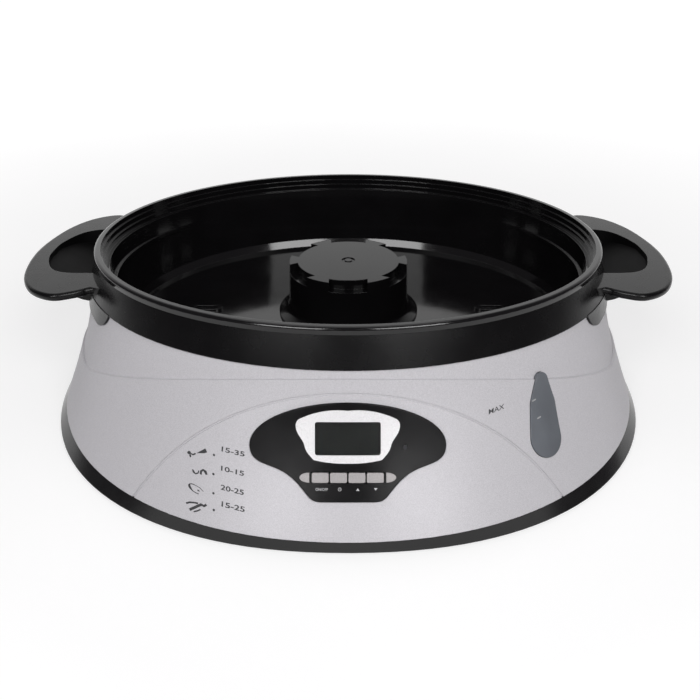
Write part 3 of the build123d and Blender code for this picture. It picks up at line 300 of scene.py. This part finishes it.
def finishes():
    """One material for each slot of the record."""
    steel = (0.56, 0.56, 0.55)
    return {
        "silver_shell": silver_paint("silver_shell"),
        "frame_silver": silver_paint("frame_silver", (0.86, 0.85, 0.86), 0.28, 0.0002, 0.03, 0.10),
        "button_silver": silver_paint("button_silver", (0.42, 0.40, 0.40), 0.32, 0.0004, 0.05, 0.15),
        "black_base": moulded("black_base", BLACK, 0.16, gloss=0.45),
        "black_satin": moulded("black_satin", BLACK, 0.26, soft_edge=0.0005, gloss=0.22),
        "basin_black": moulded("basin_black", dark(BLACK, 1.3), 0.10, depth=0.000004, gloss=0.50),
        "cap_black": moulded("cap_black", BLACK, 0.14, depth=0.000004, soft_edge=0.0005, gloss=0.22),
        "bezel_black": moulded("bezel_black", dark(BLACK, 1.6), 0.22, soft_edge=0.0006, gloss=0.3),
        "foot_rubber": rubber("foot_rubber", (0.012, 0.012, 0.012)),
        "gland_rubber": rubber("gland_rubber", (0.010, 0.010, 0.011), 0.65),
        "silicone": rubber("silicone", (0.62, 0.60, 0.56), 0.55),
        "lead_sleeve": rubber("lead_sleeve", (0.60, 0.57, 0.50), 0.70),
        "heater_steel": brushed_metal("heater_steel", steel),
        "element_metal": brushed_metal("element_metal", (0.45, 0.45, 0.44), 0.45, (300, 300, 300)),
        "zinc_steel": brushed_metal("zinc_steel", (0.50, 0.50, 0.47), 0.35),
        "thermostat_body": moulded("thermostat_body", (0.16, 0.09, 0.05), 0.5),
        "terminal_white": moulded("terminal_white", (0.68, 0.66, 0.60), 0.45),
        "switch_black": moulded("switch_black", (0.02, 0.02, 0.02), 0.4),
        "relay_blue": moulded("relay_blue", (0.01, 0.05, 0.25), 0.4),
        "capacitor_grey": moulded("capacitor_grey", (0.42, 0.30, 0.03), 0.45),
        "capacitor_black": banded("capacitor_black", (0.01, 0.01, 0.015), (0.03, 0.03, 0.04), 60.0),
        "transformer_yellow": banded("transformer_yellow", (0.30, 0.19, 0.02), (0.36, 0.25, 0.05), 240.0),
        "ribbon_grey": banded("ribbon_grey", (0.32, 0.33, 0.34), (0.22, 0.23, 0.24), 480.0),
        "board_green": circuit_board("board_green"),
        "window_smoke": clear_plastic("window_smoke", SMOKE, 0.35, 0.12),
        "chamber_clear": clear_plastic("chamber_clear", (0.55, 0.58, 0.62), 0.5),
        "display_lens": clear_plastic("display_lens", (0.72, 0.76, 0.73), 0.99, 0.03, 0.0),
        "display_glass": display_glass("display_glass"),
        "led_clear": clear_plastic("led_clear", (0.055, 0.055, 0.060), 0.3, 0.08),
    }


# ---------------------------------------------------------------- collar and its handles
def new_piece(name, mesh, material, body="base"):
    """Object with one material that rides on a body."""
    mesh.materials.clear()
    mesh.materials.append(material)
    piece = bpy.data.objects.new(name, mesh)
    bpy.context.scene.collection.objects.link(piece)
    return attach(piece, body)


def outline_profile():
    """Angles and distances of the smooth handle outline, seen from the handle's heart."""
    half = [Vector(point) for point in HANDLE_OUTLINE]
    row = [Vector((half[1].x, -half[1].y))] + half
    profile = []
    for back, start, end, ahead in zip(row, row[1:], row[2:], row[3:]):
        for point in interpolate_bezier(start, start + (end - back) / 6, end - (ahead - start) / 6, end, 24):
            profile.append((atan2(point.y, point.x), point.length))
    return profile + [(pi / 2, HANDLE_ROOT)]


def outline_distance(profile, angle):
    """Distance from the heart to the outline at an angle."""
    for (low, near), (high, far) in zip(profile, profile[1:]):
        if low <= angle <= high:
            return near + (far - near) * (angle - low) / max(high - low, 1e-9)
    return HANDLE_ROOT


def edge_inset(height):
    """How far the rounded edge stands back from the outline at a height."""
    over = max(height - HANDLE_HIGH + HANDLE_ROUND, HANDLE_LOW + HANDLE_ROUND - height, 0)
    share = min(over / HANDLE_ROUND, 1)
    return HANDLE_ROUND * (1 - sqrt(1 - share * share))


def smooth_handles(mesh):
    """Draw the handles' outer edges on to one smooth outline."""
    profile = outline_profile()
    for vertex in mesh.vertices:
        x, y, z = vertex.co
        away = Vector((abs(x) - HANDLE_HEART, y))
        angle = abs(atan2(away.y, away.x))
        on_edge = angle < pi / 2 and away.length > HANDLE_INNER
        if on_edge and HANDLE_LOW - HANDLE_SLACK < z < HANDLE_HIGH + HANDLE_SLACK:
            away *= (outline_distance(profile, angle) - edge_inset(z)) / away.length
            vertex.co = ((away.x + HANDLE_HEART) * (1 if x > 0 else -1), away.y, z)


def shade_pockets(collar, pocket_shade):
    """The finger pockets under the handles get a darker, duller copy of the collar's black: painted shade in
    the recesses.
    """
    collar.materials.append(pocket_shade)
    for face in collar.polygons:
        x, y, z = face.center
        outward = Vector((abs(x) - POCKET_MIDDLE, y, 0)).normalized()
        facing = Vector((face.normal.x if x > 0 else -face.normal.x, face.normal.y, 0)).dot(outward)
        inside = POCKET_START < abs(x) < POCKET_END and abs(y) < POCKET_HALF_LENGTH and z < POCKET_MOUTH
        if inside and ((face.normal.z > 0.3 and z < POCKET_FLOOR) or facing < -0.2):
            face.material_index = 1


def round_off(mesh):
    """Smooth shading between sharp edges."""
    mesh.polygons.foreach_set("use_smooth", [True] * len(mesh.polygons))
    mesh.set_sharp_from_angle(angle=radians(SHARP_ANGLE))


def dress_nodes():
    """Every CAD node gets its slot's material and smooth shading between its sharp edges."""
    made = finishes()
    for name, node in nodes.items():
        node.data.materials.clear()
        node.data.materials.append(made[slot_of[name]])
        round_off(node.data)
    return made


def dress_collar(satin):
    """Collar with evenly drawn handles and its pockets painted darker as shade, in the place of its CAD
    node.
    """
    mesh = nodes["handle_collar"].data.copy()
    smooth_handles(mesh)
    collar = new_piece("collar_with_handles", mesh, satin)
    # The pocket material is the collar's black made darker and duller: painted shade in the finger pockets.
    shade_pockets(mesh, moulded("pocket_painted_shade", dark(BLACK, 0.6), 0.6, 900, 0.00006, gloss=0.12))
    round_off(mesh)
    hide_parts("handle_collar")


# ---------------------------------------------------------------- printed marks
def surface_of(*names):
    """Search tree over the meshes of some nodes, to lay prints on."""
    joined = bmesh.new()
    for name in names:
        joined.from_mesh(nodes[name].data)
    tree = BVHTree.FromBMesh(joined)
    joined.free()
    return tree


def lay_on(mesh, tree, direction, lift=INK_THICKNESS):
    """Drop a flat mesh along a direction onto a surface and lift it by the ink's thickness."""
    direction = Vector(direction).normalized()
    for vertex in mesh.vertices:
        place, normal, _, _ = tree.ray_cast(vertex.co - direction * SEARCH_REACH, direction)
        if place is not None:
            vertex.co = place + (normal if normal.dot(direction) < 0 else -normal) * lift
    return mesh


def text_mesh(words, width, height, place, right, up, weight=0.018):
    """Lettering of a given width and height, its lower left corner at a place."""
    curve = bpy.data.curves.new("words", "FONT")
    curve.body = words
    curve.offset = weight
    curve.resolution_u = 3
    source = bpy.data.objects.new("words", curve)
    mesh = bpy.data.meshes.new_from_object(source)
    bpy.data.objects.remove(source)
    low = Vector((min(v.co.x for v in mesh.vertices), min(v.co.y for v in mesh.vertices)))
    high = Vector((max(v.co.x for v in mesh.vertices), max(v.co.y for v in mesh.vertices)))
    for vertex in mesh.vertices:
        across = (vertex.co.x - low.x) / (high.x - low.x) * width
        rise = (vertex.co.y - low.y) / (high.y - low.y) * height
        vertex.co = Vector(place) + Vector(right) * across + Vector(up) * rise
    return mesh


def blot(outlines, place, right, up):
    """Mesh of small filled outlines, each a closed ring of (across, up) points in millimetres."""
    shape = bmesh.new()
    for outline in outlines:
        corners = [
            shape.verts.new(Vector(place) + (Vector(right) * x + Vector(up) * y) * MM) for x, y in outline
        ]
        shape.faces.new(corners)
    mesh = bpy.data.meshes.new("blot")
    bmesh.ops.triangulate(shape, faces=shape.faces)
    shape.to_mesh(mesh)
    shape.free()
    return mesh


def oval(x, y, wide, high, turn=0.0, start=0.0, end=2 * pi, points=16):
    """Points of an oval, or of a slice of one, in millimetres."""
    ring = []
    for step in range(points):
        angle = start + (end - start) * step / (points if end - start >= 2 * pi else points - 1)
        across, rise = wide * cos(angle), high * sin(angle)
        ring.append((x + across * cos(turn) - rise * sin(turn), y + across * sin(turn) + rise * cos(turn)))
    return ring


def strip(points, width):
    """Outline of a stroke of constant width along a few points, in millimetres."""
    line = [Vector(point) for point in points]
    sides = []
    for index, point in enumerate(line):
        along = (line[min(index + 1, len(line) - 1)] - line[max(index - 1, 0)]).normalized()
        sides.append((point, Vector((-along.y, along.x)) * width / 2))
    return [tuple(p + n) for p, n in sides] + [tuple(p - n) for p, n in reversed(sides)]


def carrot():
    """Pictograms are lists of outlines, in millimetres from their middle."""
    root = [(0.6, -0.5), (3.9, 2.0), (4.6, 0.7), (3.4, 0.1)]
    leaf = strip([(0.3, -0.7), (-0.7, -1.4), (-1.7, -1.1)], 0.5)
    tip = oval(-2.2, -1.0, 0.75, 0.55, 0.6)
    stalk = oval(-1.7, -2.0, 0.35, 0.6, 0.2)
    return [root, leaf, tip, stalk]


def eggs():
    near = strip([(-2.0, 0.2), (-1.7, -0.8), (-0.8, -1.1), (0.1, -0.6), (0.4, 0.3)], 0.42)
    far = strip([(1.1, -0.9), (1.2, 0.3), (2.0, 0.9), (2.9, 0.6), (3.3, -0.5)], 0.75)
    return [near, far]


def potato():
    rim = strip([oval(0.2, 0, 3.1, 1.3, -0.25)[i] for i in (5, 6, 7, 8, 9, 10, 11, 12, 13)], 0.3)
    skin = strip([(-1.5, 1.5), (0.1, 1.2), (1.6, 0.7), (2.8, -0.2)], 0.22)
    eye = oval(0.9, -0.3, 0.5, 0.25, -0.3)
    return [rim, skin, eye]


def fish():
    body = strip([(-2.8, -2.0), (-1.0, -0.8), (0.6, 0.3), (1.6, 0.9)], 0.9)
    tail = strip([(1.5, 0.8), (2.4, 0.5), (3.3, 1.2)], 0.8)
    second = strip([(-4.2, -0.1), (-2.9, 0.5), (-1.2, 0.8), (0.2, 0.9)], 0.6)
    third = strip([(-1.3, -2.3), (0.0, -1.7), (1.2, -0.9)], 0.45)
    return [body, tail, second, third]


def time_chart(ink):
    """Steaming times printed left of the panel: a pictogram, a dot and a range of minutes in each row."""
    shell = surface_of("housing")
    right, up = Vector((1, 0, -0.04)), Vector((0.06, 0, 1))
    width, height, dot_radius = 11.9 * MM, 2.1 * MM, 0.62
    rows = (
        ("15-35", carrot(), -77.0, 38.4, -66.7, 39.0, -62.8, 41.2),
        ("10-15", eggs(), -75.2, 30.6, -66.9, 31.1, -63.0, 33.2),
        ("20-25", potato(), -76.0, 23.2, -66.7, 23.4, -63.0, 25.6),
        ("15-25", fish(), -75.0, 16.8, -66.3, 16.9, -62.4, 19.0),
    )
    for number, (words, shapes, icon_x, icon_z, dot_x, dot_z, text_x, text_z) in enumerate(rows, start=1):
        icon_place = (icon_x * MM, PRINT_FRONT, icon_z * MM)
        dot_place = (dot_x * MM, PRINT_FRONT, dot_z * MM)
        text_place = (text_x * MM, PRINT_FRONT, text_z * MM)
        picture = blot(shapes, icon_place, (1.45, 0, 0.03), (0, 0, 1.15))
        dot = blot([oval(0, 0, dot_radius, dot_radius)], dot_place, ACROSS, (0, 0, 0.8))
        words = text_mesh(words, width, height, text_place, right, up)
        for kind, mesh in (("picture", picture), ("dot", dot), ("minutes", words)):
            lay_on(mesh, shell, INTO)
            new_piece(f"chart_{kind}_{number}", mesh, ink)


def clock_face():
    """A small clock: a ring in two halves and two hands."""
    left = strip(oval(0, 0, 0.75, 0.75, 0, pi / 2, 3 * pi / 2, 9), 0.2)
    right = strip(oval(0, 0, 0.75, 0.75, 0, -pi / 2, pi / 2, 9), 0.2)
    return [left, right, strip([(0, 0.5), (0, 0), (0.35, -0.15)], 0.18)]


def key_labels(ink):
    """Small white marks under the four keys."""
    panel = surface_of("control_bezel")
    rise, normal = Vector(PANEL_UP), Vector(PANEL_NORMAL)
    start = Vector(PANEL_MIDDLE) * MM + normal * PANEL_FRONT * MM + rise * LABEL_RISE

    def across(distance):
        return start + Vector((distance * MM, 0, 0))

    marks = {
        "on_off": text_mesh("ON/OFF", 6.0 * MM, 1.3 * MM, across(-15.6), ACROSS, rise, 0.01),
        "clock": blot(clock_face(), across(-3.9) + rise * 0.7 * MM, ACROSS, rise),
        "more": blot([[(-0.8, 0.0), (0.8, 0.0), (0, 1.3)]], across(4.8), ACROSS, rise),
        "less": blot([[(-0.8, 1.3), (0, 0.0), (0.8, 1.3)]], across(13.5), ACROSS, rise),
    }
    for name, mesh in marks.items():
        lay_on(mesh, panel, -normal)
        new_piece(f"label_{name}", mesh, ink)


def level_marks(dark_ink, light_ink):
    """Word beside the level window and two dashes on it."""
    shell, window = surface_of("housing"), surface_of("level_lens")
    right, rise = Vector((1, 0, 0.10)), Vector((0.02, 0, 1))
    inward = Vector((-0.6, 0.8, 0))
    word_place = (70.6 * MM, PRINT_FRONT, 55.4 * MM)
    word = text_mesh("MAX", 8.4 * MM, 2.2 * MM, word_place, right, rise, 0.008)
    new_piece("level_word", lay_on(word, shell, INTO), dark_ink)
    for number, (across, height) in enumerate(((95.2, 55.9), (95.5, 47.4)), start=1):
        place = Vector((across, -122, height)) * MM - inward * WINDOW_FRONT
        dash = blot([oval(0, 0, 1.5, 0.40)], place, Vector((0.8, 0.6, 0.1)), (0, 0, 1))
        new_piece(f"level_dash_{number}", lay_on(dash, window, inward), light_ink)


# ---------------------------------------------------------------- studio
def studio_camera():
    """Camera where the photographer's stood."""
    lens = bpy.data.cameras.new("camera")
    lens.lens = CAMERA_LENS
    lens.sensor_width = CAMERA_SENSOR
    lens.clip_start = 0.01
    camera = bpy.data.objects.new("camera", lens)
    camera.location = CAMERA_PLACE
    camera.rotation_euler = (radians(CAMERA_PITCH), 0, 0)
    bpy.context.scene.collection.objects.link(camera)
    bpy.context.scene.camera = camera


def soft_box(name, place, width, height, power):
    """Rectangular soft light that looks at the object."""
    lamp = bpy.data.lights.new(name, "AREA")
    lamp.shape = "RECTANGLE"
    lamp.size, lamp.size_y = width, height
    lamp.energy = power
    light = bpy.data.objects.new(name, lamp)
    light.location = place
    light.rotation_euler = (Vector(LIT_POINT) - Vector(place)).to_track_quat("-Z", "Y").to_euler()
    bpy.context.scene.collection.objects.link(light)


def studio_world():
    """White for the eye, and behind the object for gloss and glass too; a dim even room for the rest."""
    world = bpy.data.worlds.new("studio")
    bpy.context.scene.world = world
    world.use_nodes = True
    tree = world.node_tree
    tree.nodes.clear()
    place = tree.nodes.new("ShaderNodeTexCoord")
    split = tree.nodes.new("ShaderNodeSeparateXYZ")
    fade = tree.nodes.new("ShaderNodeMapRange")
    fade.inputs["From Min"].default_value = BEHIND_START
    fade.inputs["From Max"].default_value = BEHIND_END
    rays = tree.nodes.new("ShaderNodeLightPath")
    mirrored = tree.nodes.new("ShaderNodeMath")
    behind = tree.nodes.new("ShaderNodeMath")
    seen = tree.nodes.new("ShaderNodeMath")
    mirrored.operation, behind.operation, seen.operation = "MAXIMUM", "MULTIPLY", "MAXIMUM"
    room = tree.nodes.new("ShaderNodeBackground")
    white = tree.nodes.new("ShaderNodeBackground")
    mix = tree.nodes.new("ShaderNodeMixShader")
    output = tree.nodes.new("ShaderNodeOutputWorld")
    tree.links.new(place.outputs["Generated"], split.inputs["Vector"])
    tree.links.new(split.outputs["Y"], fade.inputs["Value"])
    tree.links.new(rays.outputs["Is Glossy Ray"], mirrored.inputs[0])
    tree.links.new(rays.outputs["Is Transmission Ray"], mirrored.inputs[1])
    tree.links.new(mirrored.outputs["Value"], behind.inputs[0])
    tree.links.new(fade.outputs["Result"], behind.inputs[1])
    tree.links.new(rays.outputs["Is Camera Ray"], seen.inputs[0])
    tree.links.new(behind.outputs["Value"], seen.inputs[1])
    tree.links.new(seen.outputs["Value"], mix.inputs["Fac"])
    tree.links.new(room.outputs["Background"], mix.inputs[1])
    tree.links.new(white.outputs["Background"], mix.inputs[2])
    tree.links.new(mix.outputs["Shader"], output.inputs["Surface"])
    room.inputs["Color"].default_value = ROOM_TINT
    room.inputs["Strength"].default_value = ROOM_LEVEL
    white.inputs["Color"].default_value = WHITE


def studio_floor():
    """Pale floor that reads as white, more so further away, and keeps the object's shadow."""
    shape = bmesh.new()
    bmesh.ops.create_grid(shape, x_segments=2, y_segments=2, size=FLOOR_HALF_SIZE)
    mesh = bpy.data.meshes.new("floor")
    shape.to_mesh(mesh)
    shape.free()
    floor = bpy.data.objects.new("floor", mesh)
    floor.location.z = FLOOR_HEIGHT
    bpy.context.scene.collection.objects.link(floor)
    paint = Shader("floor_paint")
    paint.colour(paint.ramp(paint.noise(4, 2), FLOOR_PALE, FLOOR_PALER))
    paint.set(Roughness=0.9, Specular_IOR_Level=0.1)
    glow = paint.add("ShaderNodeEmission")
    rays = paint.add("ShaderNodeLightPath")
    seen = paint.add("ShaderNodeMath", operation="MAXIMUM")
    level = paint.add("ShaderNodeMath", operation="MULTIPLY")
    reach = paint.add("ShaderNodeVectorMath", operation="LENGTH")
    rise = paint.add("ShaderNodeMapRange")
    rise.inputs["From Min"].default_value = FLOOR_NEAR
    rise.inputs["From Max"].default_value = FLOOR_FAR
    rise.inputs["To Min"].default_value = FLOOR_GLOW_NEAR
    paint.link(paint.coordinates, reach.inputs[0])
    paint.link(reach.outputs["Value"], rise.inputs["Value"])
    paint.link(rise.outputs["Result"], level.inputs[1])
    total = paint.add("ShaderNodeAddShader")
    paint.link(rays.outputs["Is Camera Ray"], seen.inputs[0])
    paint.link(rays.outputs["Is Glossy Ray"], seen.inputs[1])
    paint.link(seen.outputs["Value"], level.inputs[0])
    paint.link(level.outputs["Value"], glow.inputs["Strength"])
    paint.link(paint.main.outputs["BSDF"], total.inputs[0])
    paint.link(glow.outputs["Emission"], total.inputs[1])
    paint.link(total.outputs["Shader"], paint.tree.nodes["Material Output"].inputs["Surface"])
    mesh.materials.append(paint.material)


def studio():
    """Surroundings, floor, lights and camera."""
    studio_world()
    studio_floor()
    soft_box("key", *KEY_LIGHT)
    soft_box("fill", *FILL_LIGHT)
    soft_box("top", *TOP_LIGHT)
    studio_camera()


dark_ink = printed("print_grey", PRINT_GREY)
white_ink = printed("print_white", PRINT_WHITE)
made = dress_nodes()
dress_collar(made[slot_of["handle_collar"]])
time_chart(dark_ink)
key_labels(white_ink)
level_marks(dark_ink, printed("print_faint", dark(PRINT_WHITE, 0.6)))
studio()

bpy.context.scene.view_settings.view_transform = "Standard"
